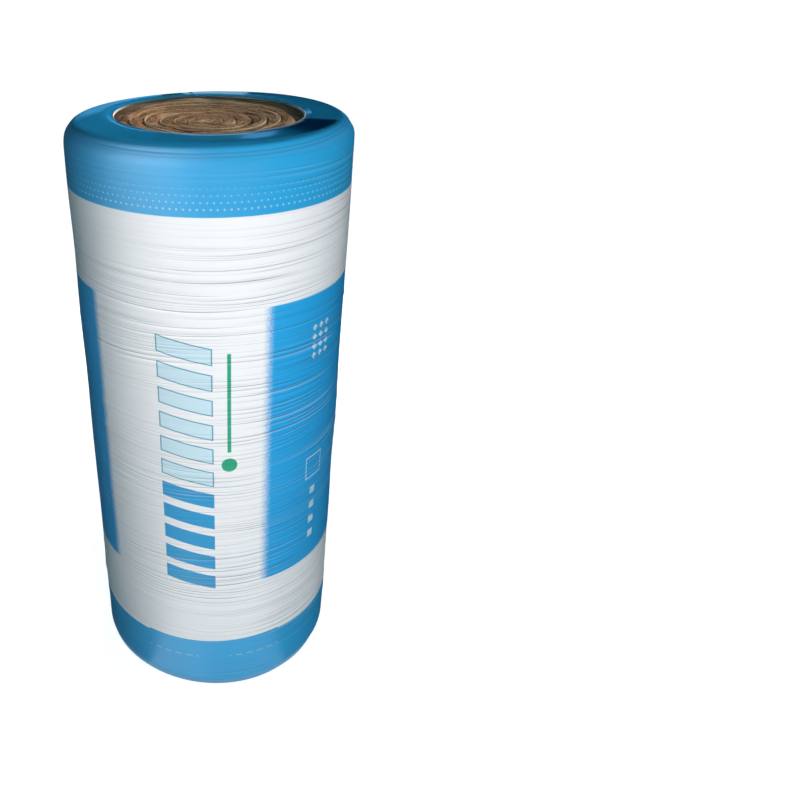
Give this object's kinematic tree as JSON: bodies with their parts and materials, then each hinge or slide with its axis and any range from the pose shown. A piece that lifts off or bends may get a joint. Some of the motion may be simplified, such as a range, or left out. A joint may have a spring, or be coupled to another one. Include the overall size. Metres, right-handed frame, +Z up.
{
  "type": "insulation roll",
  "caption": "Glass-wool mat wound into an upright roll and wrapped in printed plastic film, with the spiral of its turns showing in a round mouth at each end.",
  "frame": {"origin": "middle of the lower end, on the floor", "axes": "+Z up along the axis that the mat is wound on; -Y is the side seen first, and the film's lap is at +Y"},
  "size_m": [0.525, 0.525, 1.201],
  "materials": {
    "glass_wool": "matte, fibrous",
    "printed_film": "glossy, finely wrinkled"
  },
  "bodies": {
    "root": {"wool_coil": "glass_wool", "film_wrap": "printed_film"}
  },
  "joints": []
}
